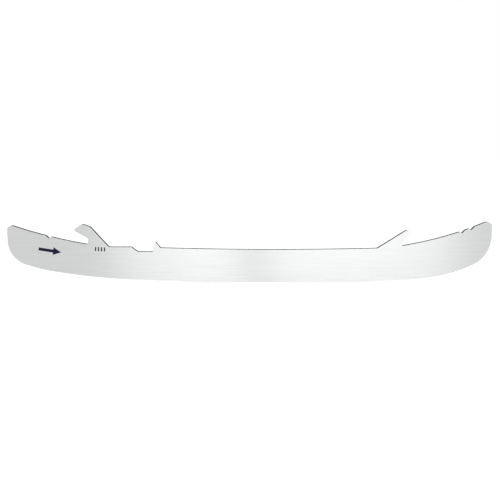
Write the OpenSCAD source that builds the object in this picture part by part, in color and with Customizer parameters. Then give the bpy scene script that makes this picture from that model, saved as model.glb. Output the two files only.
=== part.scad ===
// Runner of an ice hockey skate: one flat piece of hardened stainless steel that hooks into a blade holder.
// X runs from heel to toe, Y through the thickness and Z up. The origin lies under the middle of the
// length, in the middle of the thickness, at the level of the lowest point of the running edge.
// Heights are taken from that lowest point, and places along the blade from its nearer end.

/* [Steel] */
// Length from heel end to toe end
blade_l = 272; // [254:1:306]
// Thickness of the steel
blade_t = 2.9; // [2.6:0.05:3.4]
// Height of the web between the running edge and the long top edge
web_h = 18.65; // [17.8:0.05:19.5]

/* [Running edge] */
// Rocker radius of the middle of the running edge
rocker_r = 2134; // [1900:1:3400]
// How far ahead of the middle the running edge is lowest
rocker_low = 14.3; // [5:0.1:25]
// Place where the heel curve takes over from the rocker
heel_curve_x = 74.5; // [62:0.5:86]
// Radius of the heel curve
heel_curve_r = 394; // [320:1:460]
// Place where the heel tip takes over from the heel curve
heel_tip_x = 26.2; // [22:0.1:32]
// Radius of the heel tip
heel_tip_r = 101; // [85:1:130]
// Place where the heel nose begins, which turns upright at the end
heel_nose_x = 9.5; // [7.5:0.1:11]
// Place where the toe curve takes over from the rocker
toe_curve_x = 55.6; // [48:0.1:62]
// Radius of the toe curve
toe_curve_r = 188; // [160:1:220]
// Place where the toe tip takes over from the toe curve
toe_tip_x = 31.8; // [27:0.1:37]
// Radius of the toe tip
toe_tip_r = 81; // [70:1:95]
// Place where the toe nose begins, which turns upright at the end
toe_nose_x = 10; // [8.5:0.1:12]
// Radius of the hollow that is ground along the running edge
hollow_r = 12.7; // [9.5:0.1:38]
// Slope of the edge at which the hollow has run out, in degrees
hollow_end = 75; // [60:1:85]

/* [Heel end] */
// Height of the heel corner before it is rounded
heel_h = 33.1; // [31:0.1:35]
// Rounding of the heel corner
heel_corner_r = 2.5; // [1:0.1:5]
// Radius of the dished top edge between the heel corner and the hook
heel_top_r = 290; // [200:1:900]
// Place of the heel nick
heel_nick_x = 23.1; // [18:0.1:30]

/* [Heel hook] */
// Place of the wall at the end of the hook's slot
slot_x = 45.2; // [43:0.1:48]
// Height of the slot's floor at that wall
slot_z = 21.5; // [20.6:0.1:22.4]
// Height of the slot at that wall
slot_h = 3.6; // [3:0.05:4.5]
// Rounding in the slot's corners
slot_r = 1.2; // [0.2:0.05:1.5]
// Reach of the hook over the slot
hook_reach = 8.3; // [6.5:0.1:9.5]
// Rise of the hook's underside, in degrees
hook_rise = 29.3; // [22:0.1:34]
// Run of the brow from the hook's tip to its crown
brow_run = 5.1; // [4:0.05:6]
// Height of the brow from the hook's tip to its crown
brow_h = 3.35; // [2.6:0.05:4.2]
// Run of the crown
crown_run = 4.6; // [3.6:0.1:5.6]
// Drop of the crown
crown_drop = 1.6; // [0.8:0.05:2.4]
// Rounding of the hook's tip
hook_tip_r = 1; // [0.3:0.05:1.6]
// Rounding of both ends of the crown
crown_r = 2; // [0.5:0.1:3]
// Slope of the hook's back, in degrees
back_slope = 48.3; // [42:0.1:56]
// Rounding where the back meets the ledge
back_r = 2.1; // [0.5:0.1:4]

/* [Latch seat] */
// Height of the ledge behind the hook
ledge_z = 20.1; // [19.2:0.05:21]
// Length of the ledge
ledge_l = 12.7; // [11:0.1:14.5]
// Run of the ramp from the ledge down into the pocket
ramp_run = 3.45; // [2:0.05:5]
// Depth of the pocket under the ledge
pocket_d = 2.6; // [1.6:0.05:3.4]
// Length of the pocket's floor
pocket_l = 8.55; // [7:0.05:10]
// Lean of the spike over its foot
spike_lean = 1.55; // [0.6:0.05:2.4]
// Height of the spike above the pocket's floor
spike_h = 5.6; // [4.8:0.05:7]
// Run of the spike's front down to the top edge
spike_run = 2.9; // [2:0.05:4.5]
// Rounding of the spike's tip
spike_r = 0.4; // [0.1:0.05:0.6]
// Rounding of both ends of the ramp
ramp_r = 1.4; // [0.2:0.05:2]
// Rounding on both sides of the spike's foot
foot_r = 0.3; // [0.1:0.05:1]

/* [Toe finger] */
// Place where the finger leaves the top edge
finger_x = 63.8; // [60:0.1:68]
// Slope of the finger, in degrees
finger_slope = 32.6; // [28:0.1:38]
// Length of the finger's upper side
finger_l = 18.7; // [16:0.1:21]
// Length of the finger's blunt end
finger_w = 3.1; // [2.2:0.05:4]
// Droop of the blunt end, in degrees
finger_droop = 12; // [0:0.5:30]
// Rounding of the finger's blunt end
finger_r = 1.2; // [0.2:0.05:1.4]
// Rounding at the finger's foot
finger_foot_r = 3; // [0.5:0.1:6]
// Place of the throat under the finger
throat_x = 50.8; // [49:0.1:53]
// Height of the throat's floor
throat_z = 20.7; // [20:0.05:21.6]
// Height of the throat's steep wall
throat_h = 3.05; // [2.2:0.05:4]
// Lean of the throat's steep wall
throat_lean = 1.25; // [0:0.05:2]
// Rounding in the throat's corners
throat_r = 0.9; // [0.2:0.05:1.4]

/* [Toe end] */
// Height of the toe corner before it is rounded
toe_h = 35.7; // [33.5:0.1:37.5]
// Rounding of the toe corner
toe_corner_r = 2.8; // [1:0.1:5]
// Radius of the dished top edge between the throat and the toe corner
toe_top_r = 200; // [140:1:600]
// Place of the inner toe nick
toe_nick_x = 16.5; // [14.5:0.1:20]
// Distance from the inner toe nick to the outer one
toe_nick_pitch = 5.1; // [4.2:0.1:5.6]

/* [Nicks] */
// Depth of each nick
nick_d = 1.2; // [0.6:0.05:1.8]
// Run of the nick's steep flank, on the side of the blade's end
nick_flank = 1.7; // [0.8:0.05:2]
// Run of the nick's wall on the side of the middle
nick_wall = 1.4; // [0.6:0.05:2]
// Rounding of the nick's corners
nick_r = 0.35; // [0.1:0.05:0.5]

/* [Hidden] */
steel = [0.90, 0.91, 0.91];
// Height of the band that carries the hollow, and how far the plate laps it
band_h = 3;
lap = 1.5;
// Flats across the hollow, and longest flats along curves
hollow_n = 6;
curve_step = 3;
turn_step = 6;
half_l = blade_l / 2;
half_t = blade_t / 2;
web_r = rocker_r - web_h;

// Tangent arcs of the running edge from its lowest point outwards, as [x, z, slope].
// Each stage is [where it ends, radius]; the last has no radius and turns upright at the blade's end.
function edge_run(dir, stages, x, z = 0, s = 0) =
    len(stages) == 0
    ? [[x, z, dir * asin(s)]]
    : let (
        end_x = stages[0][0],
        r = is_undef(stages[0][1]) ? abs(end_x - x) / (1 - s) : stages[0][1],
        s_end = min(1, s + abs(end_x - x) / r),
        a = asin(s),
        turn = asin(s_end) - a,
        n = ceil(max(turn / turn_step, turn * PI / 180 * r / (2 * curve_step))),
        arc = [for (i = [0 : n - 1]) let (t = a + turn * i / n)
            [x + dir * r * (sin(t) - s), z + r * (cos(a) - cos(t)), dir * t]],
        rest = [for (i = [1 : 1 : len(stages) - 1]) stages[i]]
    )
    concat(arc, edge_run(dir, rest, end_x, z + r * (cos(a) - cos(a + turn)), s_end));

heel_edge = edge_run(-1, [
    [heel_curve_x - half_l, rocker_r],
    [heel_tip_x - half_l, heel_curve_r],
    [heel_nose_x - half_l, heel_tip_r],
    [-half_l, undef]], rocker_low);
toe_edge = edge_run(1, [
    [half_l - toe_curve_x, rocker_r],
    [half_l - toe_tip_x, toe_curve_r],
    [half_l - toe_nose_x, toe_tip_r],
    [half_l, undef]], rocker_low);
// The whole running edge from the heel end to the toe end
edge = concat(
    [for (i = [len(heel_edge) - 1 : -1 : 0]) heel_edge[i]],
    [for (i = [1 : len(toe_edge) - 1]) toe_edge[i]]);

// Height at x of a dished edge of radius r from p to q
function dish_z(x, p, q, r) =
    let (
        d = q - p,
        c = norm(d),
        h = sqrt(r * r - c * c / 4),
        centre = (p + q) / 2 + h * [-d[1], d[0]] / c
    )
    centre[1] - sqrt(r * r - pow(x - centre[0], 2));

// Corners of a dished edge between x0 and x1, both ends left out
function dish_run(x0, x1, p, q, r) =
    let (n = ceil(abs(x1 - x0) / curve_step))
    [for (i = [1 : n - 1]) let (x = x0 + (x1 - x0) * i / n) [x, dish_z(x, p, q, r), 0]];

// Corners of a nick at x in a dished edge; dir points to the blade's nearer end
function nick(x, dir, p, q, r) =
    let (
        foot = [x, dish_z(x, p, q, r) - nick_d, nick_r],
        wall = [x - dir * nick_wall, dish_z(x - dir * nick_wall, p, q, r), nick_r],
        flank = [x + dir * nick_flank, dish_z(x + dir * nick_flank, p, q, r), nick_r]
    )
    dir > 0 ? [wall, foot, flank] : [flank, foot, wall];

// Height of the long top edge, which follows the rocker
function web_z(x) = rocker_r - sqrt(web_r * web_r - pow(x - rocker_low, 2));

// Heel corner, dished top edge with its nick, and the slot's floor
heel_corner = [-half_l, heel_h];
slot_corner = [slot_x - half_l, slot_z];
heel_nick = nick(heel_nick_x - half_l, -1, heel_corner, slot_corner, heel_top_r);
heel_top = concat(
    [[heel_corner[0], heel_corner[1], heel_corner_r]],
    dish_run(heel_corner[0] + 3 * heel_corner_r, heel_nick[0][0], heel_corner, slot_corner, heel_top_r),
    heel_nick,
    dish_run(heel_nick[2][0], slot_corner[0], heel_corner, slot_corner, heel_top_r),
    [[slot_corner[0], slot_corner[1], slot_r]]);

// Hook from the slot's wall over its tip and crown and down its back
slot_top = [slot_corner[0], slot_z + slot_h];
hook_tip = slot_top + hook_reach * [-1, tan(hook_rise)];
crown_heel = hook_tip + [brow_run, brow_h];
crown_toe = crown_heel + [crown_run, -crown_drop];
back_foot = [crown_toe[0] + (crown_toe[1] - ledge_z) / tan(back_slope), ledge_z];
hook = [
    [slot_top[0], slot_top[1], slot_r],
    [hook_tip[0], hook_tip[1], hook_tip_r],
    [crown_heel[0], crown_heel[1], crown_r],
    [crown_toe[0], crown_toe[1], crown_r],
    [back_foot[0], back_foot[1], back_r]];

// Ledge, pocket and spike that the holder's latch seats on
ledge_end = back_foot[0] + ledge_l;
pocket_z = ledge_z - pocket_d;
pocket_x = ledge_end + ramp_run;
spike_x = pocket_x + pocket_l + spike_lean;
latch_seat = [
    [ledge_end, ledge_z, ramp_r],
    [pocket_x, pocket_z, ramp_r],
    [pocket_x + pocket_l, pocket_z, foot_r],
    [spike_x, pocket_z + spike_h, spike_r],
    [spike_x + spike_run, web_z(spike_x + spike_run), foot_r]];

// Long top edge, in equal flats
finger_foot = half_l - finger_x;
web_start = spike_x + spike_run;
web_n = ceil((finger_foot - web_start) / (2 * curve_step));
web_top = [for (i = [1 : web_n - 1]) let (x = web_start + (finger_foot - web_start) * i / web_n)
    [x, web_z(x), 0]];

// Finger and the throat under it
finger_tip = [finger_foot, web_z(finger_foot)] + finger_l * [cos(finger_slope), sin(finger_slope)];
finger_end = finger_tip + finger_w * [cos(finger_droop), -sin(finger_droop)];
throat = [half_l - throat_x, throat_z];
finger = [
    [finger_foot, web_z(finger_foot), finger_foot_r],
    [finger_tip[0], finger_tip[1], finger_r],
    [finger_end[0], finger_end[1], finger_r],
    [throat[0] + throat_lean, throat_z + throat_h, throat_r],
    [throat[0], throat_z, throat_r]];

// Dished top edge with its two nicks, and the toe corner
toe_corner = [half_l, toe_h];
toe_nicks = [for (i = [0, 1])
    each nick(half_l - toe_nick_x + i * toe_nick_pitch, 1, throat, toe_corner, toe_top_r)];
toe_top = concat(
    dish_run(throat[0], toe_nicks[0][0], throat, toe_corner, toe_top_r),
    toe_nicks,
    [[toe_corner[0], toe_corner[1], toe_corner_r]]);

// Arc that rounds corner b between a and c, kept within half of each side
function round_corner(a, b, c) =
    let (
        at = [b[0], b[1]],
        u = [a[0], a[1]] - at,
        v = [c[0], c[1]] - at,
        half = acos(u * v / (norm(u) * norm(v))) / 2,
        cut = min(b[2] / tan(half), norm(u) / 2, norm(v) / 2),
        r = cut * tan(half),
        mid = u / norm(u) + v / norm(v),
        centre = at + mid / norm(mid) * cut / cos(half),
        from = at + cut * u / norm(u) - centre,
        to = at + cut * v / norm(v) - centre,
        a0 = atan2(from[1], from[0]),
        raw = atan2(to[1], to[0]) - a0,
        turn = raw > 180 ? raw - 360 : raw < -180 ? raw + 360 : raw,
        n = ceil(abs(turn) / (2 * turn_step))
    )
    [for (i = [0 : n]) centre + r * [cos(a0 + turn * i / n), sin(a0 + turn * i / n)]];

// A run of corners with its inner corners rounded
function round_run(p) = [for (i = [1 : len(p) - 2])
    each p[i][2] > 0 ? round_corner(p[i - 1], p[i], p[i + 1]) : [[p[i][0], p[i][1]]]];

// Corners over the top of the blade, from the upright heel end to the upright toe end
toe_end = len(edge) - 1;
top_run = round_run(concat([edge[0]], heel_top, hook, latch_seat, web_top, finger, toe_top, [edge[toe_end]]));

// Point at depth n above the running edge, square to it
function above_edge(e, n) = [e[0] - n * sin(e[2]), e[1] + n * cos(e[2])];

// Depth of the hollow at y across an edge of that slope; it fades out as the edge turns up
function hollow_d(y, slope) =
    (sqrt(hollow_r * hollow_r - y * y) - sqrt(hollow_r * hollow_r - half_t * half_t))
    * max(0, min(1, 2 - 2 * abs(slope) / hollow_end));

// Section of the band across the edge e: over the hollow from one edge to the other and back along its top
function band_section(e) = [
    for (i = [0 : hollow_n]) let (y = half_t * (2 * i / hollow_n - 1), p = above_edge(e, hollow_d(y, e[2])))
        [p[0], y, p[1]],
    for (y = [half_t, -half_t]) let (p = above_edge(e, band_h)) [p[0], y, p[1]]];

// Band of steel along the running edge with the ground hollow: one section carried along the edge
module edge_band() {
    path = concat([edge[0] + [0, lap, 0]], edge, [edge[toe_end] + [0, lap, 0]]);
    m = hollow_n + 3;
    last = len(path) - 1;
    polyhedron(
        points = [for (e = path) each band_section(e)],
        faces = concat(
            [[for (j = [0 : m - 1]) (j + m - 1) % m]],
            [[for (j = [m - 1 : -1 : 0]) last * m + j]],
            [for (k = [0 : last - 1], j = [0 : m - 1]) let (a = k * m, i = (j + 1) % m)
                each [[a + j, a + m + j, a + m + i], [a + j, a + m + i, a + i]]]));
}

// Plate above the running edge, cut to the outline; it laps the band
module plate() {
    rotate([90, 0, 0])
        linear_extrude(blade_t, center = true)
            polygon(concat(
                [above_edge(edge[0], 0)],
                top_run,
                [above_edge(edge[toe_end], 0)],
                [for (i = [toe_end : -1 : 0]) above_edge(edge[i], lap)]));
}

// The runner, one piece of steel
module runner() {
    color(steel)
        union() {
            plate();
            edge_band();
        }
}

runner();
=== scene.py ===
"""Looks of an ice hockey runner: one flat piece of stainless steel, satin ground on its faces, dull on its
cut edges and hollow ground along its running edge. All sizes are in metres, in the frame of the solid."""

import math

import bmesh
import bpy
import numpy as np
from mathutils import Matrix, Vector


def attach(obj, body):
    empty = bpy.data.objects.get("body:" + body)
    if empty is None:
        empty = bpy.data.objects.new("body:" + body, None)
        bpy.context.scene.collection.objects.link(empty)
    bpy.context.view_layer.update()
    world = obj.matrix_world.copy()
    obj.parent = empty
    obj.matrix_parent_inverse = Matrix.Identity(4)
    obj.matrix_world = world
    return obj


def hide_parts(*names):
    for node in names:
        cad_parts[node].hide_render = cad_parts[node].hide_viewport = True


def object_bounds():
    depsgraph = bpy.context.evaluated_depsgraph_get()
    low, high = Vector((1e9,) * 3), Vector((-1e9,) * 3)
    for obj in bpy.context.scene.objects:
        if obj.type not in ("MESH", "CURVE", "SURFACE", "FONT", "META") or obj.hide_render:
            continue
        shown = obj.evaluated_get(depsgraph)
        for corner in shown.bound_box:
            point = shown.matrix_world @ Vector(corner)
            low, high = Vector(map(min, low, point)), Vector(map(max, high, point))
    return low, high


bl_info = {
    "name": "Ice Hockey Runner",
    "version": (1, 0, 0),
    "blender": (4, 5, 0),
    "location": "View3D > Sidebar > Runner",
    "description": "Dresses the solid runner of an ice hockey skate and sets up its studio",
    "category": "Object",
}

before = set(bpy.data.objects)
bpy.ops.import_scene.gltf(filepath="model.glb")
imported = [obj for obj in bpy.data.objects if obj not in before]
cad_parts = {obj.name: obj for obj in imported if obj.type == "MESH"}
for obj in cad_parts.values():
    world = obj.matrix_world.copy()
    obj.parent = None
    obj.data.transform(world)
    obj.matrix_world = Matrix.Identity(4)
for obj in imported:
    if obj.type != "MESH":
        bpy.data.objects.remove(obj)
CAD_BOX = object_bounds()

MM = 0.001
BODY = "root"
NODE = "runner"

# Welding of the solid's triangles, and the turn below which two sides of its outline are one.
WELD_GAP = 0.002 * MM
FLAT_TURN = math.radians(0.03)

# Strips of the skin across an edge break and across the edge, those that look like the face, and sharp turns.
BREAK_STRIPS = 4
EDGE_STRIPS = 10
FACE_STRIPS = 3
SHARP_TURN = math.radians(40.0)

# Material places on the skin, and the share of hollow from which the edge shows the grinding wheel.
FACE, CUT, GROUND = range(3)
GROUND_SHARE = 0.05

# The middle part of a noise, which is spread over a range.
NOISE_LOW = 0.3
NOISE_HIGH = 0.7

# Grinding lines: their map, layers of their noise and share of each next layer, how much longer and wider
# broad lines are than fine ones, the turn that spreads light across them, and the strength of their bump.
GRIND_MAP = "grind"
GRIND_LAYERS = 3.0
GRIND_LAYER_SHARE = 0.6
BROAD_RUN = 3
BROAD_WIDTH = 8
ACROSS_THE_GRIND = 0.25
GRIND_BUMP = 0.25

# Printing ink: distance between pores, layers of their noise, ranges of shade and roughness, and gloss.
PORE = 0.2 * MM
PORE_LAYERS = 2.0
INK_SHADE = (0.85, 1.25)
INK_ROUGH = (0.34, 0.46)
INK_GLOSS = 0.15

WHITE = (1.0, 1.0, 1.0, 1.0)
FLOOR_LINES = 9

# Soft boxes: name, then y, left end and right end in mm, and level of white.
SOFTBOXES = (
    ("left_wing", -450.0, -166.0, -84.5, 1.18),
    ("left_softbox", -450.0, -84.5, -10.5, 1.52),
    ("right_softbox", -450.0, 19.5, 147.0, 1.45),
    ("right_wing", -450.0, 147.0, 253.0, 1.38),
    ("back_softbox", 450.0, -120.0, 150.0, 1.35),
)


def linear(hex_colour):
    """sRGB hex such as #C8C9CA as linear red, green and blue."""
    srgb = np.array([int(hex_colour[i:i + 2], 16) for i in (1, 3, 5)]) / 255
    return tuple(np.where(srgb <= 0.04045, srgb / 12.92, ((srgb + 0.055) / 1.055) ** 2.4))


def length(name, description, millimetres):
    """A length property whose default is given in millimetres."""
    return bpy.props.FloatProperty(
        name=name, description=description, default=millimetres * MM, min=0.0, precision=5, unit="LENGTH")


def place(name, description, x, y, z):
    """A place property whose default is given in millimetres."""
    return bpy.props.FloatVectorProperty(
        name=name, description=description, default=(x * MM, y * MM, z * MM), precision=5, unit="LENGTH")


def colour(name, description, hex_colour):
    """A colour property whose default is given as sRGB hex."""
    return bpy.props.FloatVectorProperty(
        name=name, description=description, default=linear(hex_colour), min=0.0, max=1.0, subtype="COLOR")


def angle(name, description, degrees):
    """An angle property whose default is given in degrees."""
    return bpy.props.FloatProperty(
        name=name, description=description, default=math.radians(degrees), subtype="ANGLE")


def level(name, description, default):
    """A plain number property that isn't negative."""
    return bpy.props.FloatProperty(name=name, description=description, default=default, min=0.0)


class RunnerSizes(bpy.types.PropertyGroup):
    """Sizes of the steel's own detail, beyond the solid's outline."""
    step: length("Step", "Longest step between points along the outline", 0.5)
    edge_break: length("Edge break", "Radius of the tumbled break along the cut outline", 0.13)
    keen_break: length("Keen break", "Radius that is left on the two keen running edges", 0.015)
    rim: length("Rim", "Width of the flat rim that holds the break off the faces", 0.04)
    hollow: length("Hollow", "Radius of the hollow that is ground along the running edge", 12.7)
    hollow_end: angle("Hollow end", "Slope of the edge at which the hollow has run out", 75.0)


class RunnerFinish(bpy.types.PropertyGroup):
    """Colours of the steel and of the printed marks."""
    face: colour("Face", "Satin ground stainless steel", "#D2D3D3")
    # The cut edge's dark colour is partly the dull blanked finish and partly painted shade along the top
    # edges.
    cut: colour("Cut edge", "Blanked and tumbled stainless steel", "#6C6E70")
    ground: colour("Running surface", "Hollow ground stainless steel", "#C2C4C6")
    ink: colour("Ink", "Navy printing ink of the arrow", "#101430")
    grey_ink: colour("Grey ink", "Grey printing ink of the ticks", "#34363E")


class RunnerMarks(bpy.types.PropertyGroup):
    """Sizes and places of the printed marks on the right face, from the heel end and the running edge."""
    film: length("Film", "Thickness of the ink", 0.02)
    arrow_x: length("Arrow place", "Middle of the arrow from the heel end", 23.6)
    arrow_z: length("Arrow height", "Middle of the arrow above the running edge", 18.1)
    arrow_l: length("Arrow length", "Length of the arrow that points to the toe", 12.8)
    head_l: length("Head length", "Length of the arrow's head", 4.6)
    head_w: length("Head width", "Width of the arrow's head", 4.4)
    shaft_w: length("Shaft width", "Width of the arrow's shaft", 1.7)
    arrow_dip: angle("Arrow dip", "Slope of the arrow, which follows the top edge above it", 9.0)
    tick_x: length("Tick place", "Middle of the row of ticks from the heel end", 51.9)
    tick_z: length("Tick height", "Middle of the ticks above the running edge", 18.9)
    tick_l: length("Tick length", "Length of each tick", 2.3)
    tick_w: length("Tick width", "Width of each tick", 0.75)
    tick_pitch: length("Tick pitch", "Distance from tick to tick", 1.7)
    ticks: bpy.props.IntProperty(name="Ticks", description="Number of ticks in the row", default=4, min=1)
    tick_dip: angle("Tick dip", "Slope of the row of ticks", 3.0)


class RunnerStudio(bpy.types.PropertyGroup):
    """Camera, floor, lamps and levels of the studio."""
    eye: place("Eye", "Place of the camera", 1.07, -388.1, 77.7)
    aim: place("Aim", "Point that the camera looks at", 0.37, 0.0, 18.26)
    lens: level("Lens", "Focal length in millimetres on a 36 mm sensor", 50.0)
    near: length("Near", "Distance from which the camera sees", 10.0)
    daylight: level("Daylight", "Level of the light from all round", 0.9)
    floor_reach: length("Floor reach", "Distance from the middle of the floor to its sides", 3000.0)
    floor_shade: level(
        "Floor shade", "Share of its light that the floor gives back, and its shadow takes away", 0.35)
    floor_white: level("Floor white", "Level of white that the shadow leaves on the floor", 0.75)
    lamp_h: length("Lamp height", "Height of each soft box", 900.0)
    lamp_z: length("Lamp middle", "Middle of each soft box above the floor", 470.0)


def cad_outline():
    """Corners of the solid's right face, in order, as an array of x and z.

    The solid's triangles are welded, those in that face are merged into one polygon, and corners that don't
    turn are left out."""
    solid = bmesh.new()
    solid.from_mesh(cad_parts[NODE].data)
    bmesh.ops.remove_doubles(solid, verts=solid.verts, dist=WELD_GAP)
    right_y = CAD_BOX[0].y + WELD_GAP
    flat = [face for face in solid.faces if max(corner.co.y for corner in face.verts) < right_y]
    merged = bmesh.ops.dissolve_faces(solid, faces=flat)["region"]
    if len(merged) != 1:
        raise RuntimeError("the right face of the solid runner isn't one polygon")
    corners = np.array([corner.co for corner in merged[0].verts])[:, [0, 2]]
    solid.free()
    side = np.roll(corners, -1, axis=0) - corners
    heading = np.arctan2(side[:, 1], side[:, 0])
    turn = heading - np.roll(heading, 1)
    return corners[np.abs(np.sin(turn)) > math.sin(FLAT_TURN)]


def smooth_outline(corners, step):
    """Points at most a step apart on the smooth closed curve through the corners, and its outward normals.

    Each side becomes a cubic whose end tangents run parallel to the line between the neighbours of that end,
    with the side's own length; at least two pieces a side keep the rounded corners round."""
    after = np.roll(corners, -1, axis=0)
    chord = np.linalg.norm(after - corners, axis=1)
    tangent = after - np.roll(corners, 1, axis=0)
    tangent /= np.linalg.norm(tangent, axis=1)[:, None]
    pieces = np.maximum(2, np.ceil(chord / step)).astype(int)
    side = np.repeat(np.arange(len(corners)), pieces)
    t = (np.arange(len(side)) - np.repeat(np.cumsum(pieces) - pieces, pieces)) / pieces[side]
    t = t[:, None]
    p = corners[side]
    q = after[side]
    u = tangent[side] * chord[side, None]
    v = np.roll(tangent, -1, axis=0)[side] * chord[side, None]
    ends = (2 * t**3 - 3 * t**2 + 1) * p + (3 * t**2 - 2 * t**3) * q
    points = ends + (t**3 - 2 * t**2 + t) * u + (t**3 - t**2) * v
    along = (6 * t**2 - 6 * t) * (p - q) + (3 * t**2 - 4 * t + 1) * u + (3 * t**2 - 2 * t) * v
    along /= np.linalg.norm(along, axis=1)[:, None]
    return points, np.stack([along[:, 1], -along[:, 0]], axis=1)


def steel_grid(sizes, half_t):
    """The runner's skin as a grid of rows along the outline and columns from the right face to the left.

    Every row is the outline's point moved inwards along its normal by the column's inset. Across the
    thickness the inset is a quarter circle at each face, the edge break, and between them the hollow: the
    height of a circle of the hollow's radius above its chord. The share of hollow is 1 on the running edge
    and falls with its slope to 0 at the noses, where the full edge break takes over. Returns the places, each
    row's way along the outline with the columns' way across, one row longer so that it closes, and each row's
    share of hollow."""
    points, normals = smooth_outline(cad_outline(), sizes.step)
    slope = np.arccos(np.clip(-normals[:, 1], -1, 1))
    below = points[:, 1] < CAD_BOX[1].z / 2
    hollow = below * np.clip(2 - 2 * slope / sizes.hollow_end, 0, 1)
    radius = (sizes.edge_break + (sizes.keen_break - sizes.edge_break) * hollow)[:, None]
    turn = np.linspace(0, math.pi / 2, BREAK_STRIPS + 1)
    across = np.linspace(-1, 1, EDGE_STRIPS + 1)[1:-1]
    right_y = np.hstack([np.full_like(radius, -half_t), -half_t + radius * (1 - np.cos(turn))])
    right_in = np.hstack([radius + sizes.rim, radius * (1 - np.sin(turn))])
    y = np.hstack([right_y, (half_t - radius) * across, -right_y[:, ::-1]])
    inset = np.hstack([right_in, np.zeros((len(radius), len(across))), right_in[:, ::-1]])
    inset += hollow[:, None] * (np.sqrt(sizes.hollow**2 - y**2) - math.sqrt(sizes.hollow**2 - half_t**2))
    x = points[:, :1] - inset * normals[:, :1]
    z = points[:, 1:] - inset * normals[:, 1:]
    steps = np.linalg.norm(np.roll(points, -1, axis=0) - points, axis=1)
    ways = np.empty((len(y) + 1, y.shape[1], 2))
    ways[..., 0] = np.append(0, np.cumsum(steps))[:, None]
    ways[..., 1] = np.vstack([y, y[:1]])
    return np.stack([x, y, z], axis=2), ways, hollow


def closed_mesh(name, places, loops, counts, kinds, maps):
    """A mesh from flat arrays: corner loops, corners a face, material numbers and map places."""
    mesh = bpy.data.meshes.new(name)
    mesh.vertices.add(len(places))
    mesh.vertices.foreach_set("co", places.astype(np.float32).ravel())
    mesh.loops.add(len(loops))
    mesh.loops.foreach_set("vertex_index", loops.astype(np.int32))
    mesh.polygons.add(len(counts))
    mesh.polygons.foreach_set("loop_start", (np.cumsum(counts) - counts).astype(np.int32))
    mesh.polygons.foreach_set("material_index", kinds.astype(np.int32))
    mesh.uv_layers.new(name=GRIND_MAP).data.foreach_set("uv", maps.astype(np.float32).ravel())
    mesh.update(calc_edges=True)
    mesh.validate()
    mesh.shade_smooth()
    mesh.set_sharp_from_angle(angle=SHARP_TURN)
    return mesh


def steel_mesh(sizes):
    """The closed skin: the grid's quads, wrapped round the outline, and one flat polygon on each face.

    On the faces and the near half of their breaks the grind map is x and z, and on the edge it is the way
    along the outline and across it."""
    places, ways, hollow = steel_grid(sizes, CAD_BOX[1].y)
    rows, columns = places.shape[:2]
    number = np.arange(rows * columns).reshape(rows, columns)
    onward = np.roll(number, -1, axis=0)
    quads = np.stack([number[:, :-1], number[:, 1:], onward[:, 1:], onward[:, :-1]], axis=2)
    right = number[:, 0]
    left = number[::-1, -1]
    strip = np.arange(columns - 1)
    on_face = np.minimum(strip, strip[::-1]) < FACE_STRIPS
    kinds = np.where(on_face, FACE, np.where(hollow[:, None] > GROUND_SHARE, GROUND, CUT))
    face_map = places[..., [0, 2]].reshape(-1, 2)
    edge_map = np.stack([ways[:-1, :-1], ways[:-1, 1:], ways[1:, 1:], ways[1:, :-1]], axis=2)
    quad_map = np.where(on_face[:, None, None], face_map[quads], edge_map)
    return closed_mesh(
        "runner_steel", places.reshape(-1, 3),
        np.concatenate([quads.ravel(), right, left]),
        np.concatenate([np.full(rows * (columns - 1), 4), [rows, rows]]),
        np.concatenate([kinds.ravel(), [FACE, FACE]]),
        np.concatenate([quad_map.reshape(-1, 2), face_map[right], face_map[left]]))


def add_piece(mesh, *materials):
    """An object for the mesh, at the origin, with its materials, that rides with the part."""
    piece = bpy.data.objects.new(mesh.name, mesh)
    bpy.context.scene.collection.objects.link(piece)
    for material in materials:
        mesh.materials.append(material)
    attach(piece, BODY)
    return piece


def add_node(tree, kind, settings=None, **links):
    """One node of that kind with its settings; each link feeds the input of that name, or is its constant."""
    node = tree.nodes.new("ShaderNode" + kind)
    for name, value in (settings or {}).items():
        setattr(node, name, value)
    for name, value in links.items():
        socket = next(s for s in node.inputs if s.enabled and s.name.replace(" ", "_") == name)
        if isinstance(value, bpy.types.NodeSocket):
            tree.links.new(value, socket)
        else:
            socket.default_value = value
    return node


def new_material(name):
    """An empty node material and its tree."""
    material = bpy.data.materials.new(name)
    material.use_nodes = True
    material.node_tree.nodes.clear()
    return material, material.node_tree


def lines(tree, where, run, width):
    """Noise drawn out into lines of that run and width along the grind map."""
    drawn = add_node(tree, "Mapping", Vector=where, Scale=(1 / run, 1 / width, 1.0))
    noise = add_node(tree, "TexNoise", {"noise_dimensions": "2D"}, Vector=drawn.outputs["Vector"], Scale=1.0,
                     Detail=GRIND_LAYERS, Roughness=GRIND_LAYER_SHARE)
    return noise.outputs["Fac"]


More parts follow.
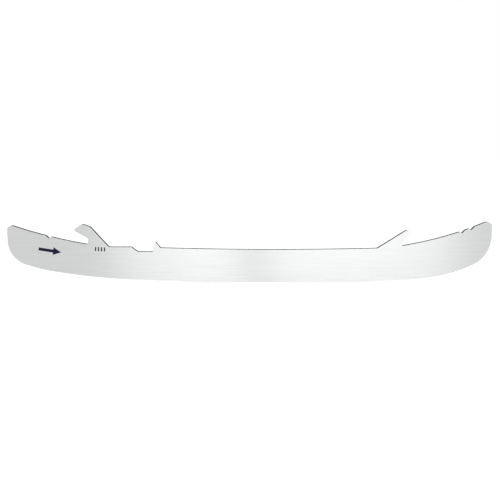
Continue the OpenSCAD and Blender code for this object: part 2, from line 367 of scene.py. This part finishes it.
def steel_material(name, tint, run, width, shade, rough, grain, anisotropic, glance):
    """Bare stainless steel with lines along the grind map, which tilt, dull and shade it from line to line.

    run and width are a fine line's length and width, and grain its depth; shade is how far fine and broad
    lines turn the colour's level from 1, and rough the range of the roughness; glance is the share of light
    that is left at a glancing angle."""
    material, tree = new_material(name)
    where = add_node(tree, "UVMap", {"uv_map": GRIND_MAP}).outputs["UV"]
    along = add_node(tree, "Tangent", {"direction_type": "UV_MAP", "uv_map": GRIND_MAP})
    fine = lines(tree, where, run, width)
    broad = lines(tree, where, BROAD_RUN * run, BROAD_WIDTH * width)
    shaded = tint
    for pattern, turned in zip((fine, broad), shade):
        share = add_node(tree, "MapRange", Value=pattern, From_Min=NOISE_LOW, From_Max=NOISE_HIGH,
                         To_Min=1 - turned, To_Max=1 + turned)
        scaled = add_node(tree, "VectorMath", {"operation": "SCALE"}, Vector=shaded,
                          Scale=share.outputs["Result"])
        shaded = scaled.outputs["Vector"]
    dulled = add_node(tree, "MapRange", Value=fine, From_Min=NOISE_LOW, From_Max=NOISE_HIGH,
                      To_Min=rough[0], To_Max=rough[1])
    tilted = add_node(tree, "Bump", Strength=GRIND_BUMP, Distance=grain, Height=fine)
    steel = add_node(tree, "BsdfPrincipled", Metallic=1.0, Base_Color=shaded,
                     Roughness=dulled.outputs["Result"], Normal=tilted.outputs["Normal"],
                     Specular_Tint=(glance, glance, glance, 1.0),
                     Anisotropic=anisotropic, Anisotropic_Rotation=ACROSS_THE_GRIND,
                     Tangent=along.outputs["Tangent"])
    add_node(tree, "OutputMaterial", Surface=steel.outputs["BSDF"])
    return material


def satin_steel(finish):
    """Stainless sheet ground lengthwise with a fine belt: light spreads up and down the blade in soft bands.

    Belt lines are about 0.05 mm wide, drawn at 0.16 mm so that they show."""
    return steel_material(
        "satin_ground_stainless", finish.face, run=14 * MM, width=0.16 * MM, shade=(0.05, 0.02),
        rough=(0.31, 0.36), grain=0.002 * MM, anisotropic=1.0, glance=1.0)


def cut_steel_and_painted_shade(finish):
    """The blanked edge, tumbled after cutting: dull, with faint lines, and darker than the faces; the dark
    colour and the weak glancing reflection are partly painted shade, standing in for the shade along the top
    edges at a glancing view.

    The lines run across the thickness, about 0.3 mm apart."""
    # Dark tint and a glance of 0.1: painted shade that keeps the top edges dark at a glancing view, on top of
    # the dull finish.
    return steel_material(
        "blanked_edge_stainless", finish.cut, run=0.3 * MM, width=4 * MM, shade=(0.08, 0.08),
        rough=(0.5, 0.62), grain=0.004 * MM, anisotropic=0.0, glance=0.1)


def ground_steel(finish):
    """The hollow, ground along the edge by a dressed wheel: bright, with fine unbroken lines along it.

    Wheel lines are about 0.03 mm wide, drawn at 0.15 mm so that they show."""
    return steel_material(
        "hollow_ground_stainless", finish.ground, run=40 * MM, width=0.15 * MM, shade=(0.03, 0.03),
        rough=(0.2, 0.3), grain=0.001 * MM, anisotropic=0.5, glance=1.0)


class RUNNER_OT_steel(bpy.types.Operator):
    """Make the runner's steel skin and let it stand for the solid"""
    bl_idname = "runner.steel"
    bl_label = "Steel"

    def execute(self, context):
        finish = context.scene.runner_finish
        mesh = steel_mesh(context.scene.runner_sizes)
        piece = add_piece(mesh, satin_steel(finish), cut_steel_and_painted_shade(finish), ground_steel(finish))
        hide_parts(NODE)
        return {"FINISHED"}


def printed_film(name, shapes, right_y, film):
    """Flat closed slips of ink, one for each outline in an array of outlines by corners by x and z.

    Each outline is repeated a film's thickness in front of the face and as far behind it, and walls join
    the two."""
    count, corners = shapes.shape[:2]
    places = np.empty((count, 2, corners, 3))
    places[..., [0, 2]] = shapes[:, None]
    places[..., 1] = np.array([right_y - film, right_y + film])[:, None]
    number = np.arange(count * 2 * corners).reshape(count, 2, corners)
    front = number[:, 0]
    back = number[:, 1]
    walls = np.stack([front, back, np.roll(back, -1, axis=1), np.roll(front, -1, axis=1)], axis=2)
    loops = np.concatenate([front.ravel(), back[:, ::-1].ravel(), walls.ravel()])
    counts = np.concatenate([np.full(2 * count, corners), np.full(count * corners, 4)])
    flat = places.reshape(-1, 3)
    return closed_mesh(name, flat, loops, counts, np.zeros(len(counts)), flat[loops][:, [0, 2]])


def laid(outline, x, z, dip):
    """The outline turned down by the dip about the origin and moved to x and z."""
    turn = np.array([[math.cos(dip), -math.sin(dip)], [math.sin(dip), math.cos(dip)]])
    return outline @ turn + (x, z)


def ink_material(name, tint):
    """Printing ink baked on steel: a thin, nearly even film with a soft gloss and fine pores."""
    material, tree = new_material(name)
    where = add_node(tree, "TexCoord").outputs["Object"]
    pores = add_node(tree, "TexNoise", Vector=where, Scale=1 / PORE, Detail=PORE_LAYERS).outputs["Fac"]
    share = add_node(tree, "MapRange", Value=pores, From_Min=NOISE_LOW, From_Max=NOISE_HIGH,
                     To_Min=INK_SHADE[0], To_Max=INK_SHADE[1])
    shaded = add_node(tree, "VectorMath", {"operation": "SCALE"}, Vector=tint, Scale=share.outputs["Result"])
    dulled = add_node(tree, "MapRange", Value=pores, From_Min=NOISE_LOW, From_Max=NOISE_HIGH,
                      To_Min=INK_ROUGH[0], To_Max=INK_ROUGH[1])
    ink = add_node(tree, "BsdfPrincipled", Base_Color=shaded.outputs["Vector"],
                   Roughness=dulled.outputs["Result"], Specular_IOR_Level=INK_GLOSS)
    add_node(tree, "OutputMaterial", Surface=ink.outputs["BSDF"])
    return material


class RUNNER_OT_marks(bpy.types.Operator):
    """Print the arrow and the row of ticks on the right face"""
    bl_idname = "runner.marks"
    bl_label = "Marks"

    def execute(self, context):
        marks = context.scene.runner_marks
        finish = context.scene.runner_finish
        heel = CAD_BOX[0].x
        right_y = CAD_BOX[0].y
        tip = marks.arrow_l / 2
        neck = tip - marks.head_l
        shaft = marks.shaft_w / 2
        head = marks.head_w / 2
        arrow = np.array([
            (-tip, -shaft), (neck, -shaft), (neck, -head), (tip, 0),
            (neck, head), (neck, shaft), (-tip, shaft)])
        arrow = laid(arrow, heel + marks.arrow_x, marks.arrow_z, marks.arrow_dip)
        tick = np.array([(-1, -1), (1, -1), (1, 1), (-1, 1)]) * (marks.tick_w / 2, marks.tick_l / 2)
        row = (np.arange(marks.ticks) - (marks.ticks - 1) / 2) * marks.tick_pitch
        ticks = tick + np.stack([row, np.zeros_like(row)], axis=1)[:, None]
        ticks = laid(ticks, heel + marks.tick_x, marks.tick_z, marks.tick_dip)
        add_piece(printed_film("toe_arrow_print", arrow[None], right_y, marks.film),
                  ink_material("navy_printing_ink", finish.ink))
        add_piece(printed_film("tick_print", ticks, right_y, marks.film),
                  ink_material("grey_printing_ink", finish.grey_ink))
        return {"FINISHED"}


def seen_directly(tree, otherwise, seen):
    """A level for what the camera sees, directly or in a gloss or glass, and another for all other rays."""
    path = add_node(tree, "LightPath")
    rays = add_node(tree, "CombineXYZ", X=path.outputs["Is Camera Ray"], Y=path.outputs["Is Glossy Ray"],
                    Z=path.outputs["Is Transmission Ray"])
    either = add_node(tree, "VectorMath", {"operation": "LENGTH"}, Vector=rays.outputs["Vector"])
    shown = add_node(tree, "MapRange", Value=either.outputs["Value"], To_Min=otherwise, To_Max=seen)
    return shown.outputs["Result"]


def make_floor(studio):
    """A pale matt floor that keeps the shadow: a square grid at the lowest point of the running edge."""
    reach = np.linspace(-studio.floor_reach, studio.floor_reach, FLOOR_LINES)
    x, y = np.meshgrid(reach, reach)
    places = np.stack([x, y, np.zeros_like(x)], axis=2).reshape(-1, 3)
    number = np.arange(FLOOR_LINES**2).reshape(FLOOR_LINES, FLOOR_LINES)
    quads = np.stack([number[:-1, :-1], number[:-1, 1:], number[1:, 1:], number[1:, :-1]], axis=2)
    mesh = bpy.data.meshes.new("floor")
    mesh.from_pydata(places.tolist(), [], quads.reshape(-1, 4).tolist())
    material, tree = new_material("matt_white_paper")
    shade = (studio.floor_shade, studio.floor_shade, studio.floor_shade, 1.0)
    paper = add_node(tree, "BsdfPrincipled", Base_Color=shade, Roughness=1.0, Specular_IOR_Level=0.0,
                     Emission_Color=WHITE, Emission_Strength=seen_directly(tree, 0.0, studio.floor_white))
    add_node(tree, "OutputMaterial", Surface=paper.outputs["BSDF"])
    mesh.materials.append(material)
    floor = bpy.data.objects.new("floor", mesh)
    bpy.context.scene.collection.objects.link(floor)


def make_surroundings(studio):
    """Soft light from all round, which the camera and the steel see as plain white."""
    world = bpy.data.worlds.new("surroundings")
    world.use_nodes = True
    tree = world.node_tree
    tree.nodes.clear()
    sky = add_node(tree, "Background", Color=WHITE, Strength=seen_directly(tree, studio.daylight, 1.0))
    add_node(tree, "OutputWorld", Surface=sky.outputs["Background"])
    bpy.context.scene.world = world


def make_lamp(studio, name, y, left, right, white):
    """An upright soft box at y, in mm, that shines towards the runner as brightly as that level of white.

    Its power is pi times its area times that level."""
    lamp = bpy.data.lights.new(name, "AREA")
    lamp.shape = "RECTANGLE"
    lamp.size = (right - left) * MM
    lamp.size_y = studio.lamp_h
    lamp.energy = math.pi * white * lamp.size * lamp.size_y
    box = bpy.data.objects.new(name, lamp)
    box.location = ((left + right) / 2 * MM, y * MM, studio.lamp_z)
    box.rotation_euler = (math.copysign(math.pi / 2, -y), 0, 0)
    box.visible_camera = False
    bpy.context.scene.collection.objects.link(box)


def make_camera(studio):
    """The camera at its eye, turned to its aim."""
    camera = bpy.data.objects.new("camera", bpy.data.cameras.new("camera"))
    camera.data.lens = studio.lens
    camera.data.clip_start = studio.near
    camera.location = studio.eye
    camera.rotation_euler = (Vector(studio.aim) - Vector(studio.eye)).to_track_quat("-Z", "Y").to_euler()
    bpy.context.scene.collection.objects.link(camera)
    bpy.context.scene.camera = camera


class RUNNER_OT_stage(bpy.types.Operator):
    """Make the floor, surroundings, lamps and camera"""
    bl_idname = "runner.stage"
    bl_label = "Stage"

    def execute(self, context):
        studio = context.scene.runner_studio
        context.scene.view_settings.view_transform = "Standard"
        make_floor(studio)
        make_surroundings(studio)
        for softbox in SOFTBOXES:
            make_lamp(studio, *softbox)
        make_camera(studio)
        return {"FINISHED"}


class RUNNER_PT_panel(bpy.types.Panel):
    """Lists the runner's steps"""
    bl_label = "Runner"
    bl_space_type = "VIEW_3D"
    bl_region_type = "UI"
    bl_category = "Runner"

    def draw(self, context):
        for step in STEPS:
            self.layout.operator(step.bl_idname)


GROUPS = {
    "runner_sizes": RunnerSizes,
    "runner_finish": RunnerFinish,
    "runner_marks": RunnerMarks,
    "runner_studio": RunnerStudio,
}
STEPS = (RUNNER_OT_steel, RUNNER_OT_marks, RUNNER_OT_stage)


def register():
    for group in GROUPS.values():
        bpy.utils.register_class(group)
    for name, group in GROUPS.items():
        setattr(bpy.types.Scene, name, bpy.props.PointerProperty(type=group))
    for shown in (*STEPS, RUNNER_PT_panel):
        bpy.utils.register_class(shown)


def unregister():
    for shown in (*STEPS, RUNNER_PT_panel):
        bpy.utils.unregister_class(shown)
    for name in GROUPS:
        delattr(bpy.types.Scene, name)
    for group in GROUPS.values():
        bpy.utils.unregister_class(group)


def main():
    register()
    bpy.ops.runner.steel()
    bpy.ops.runner.marks()
    bpy.ops.runner.stage()


if __name__ == "__main__":
    main()
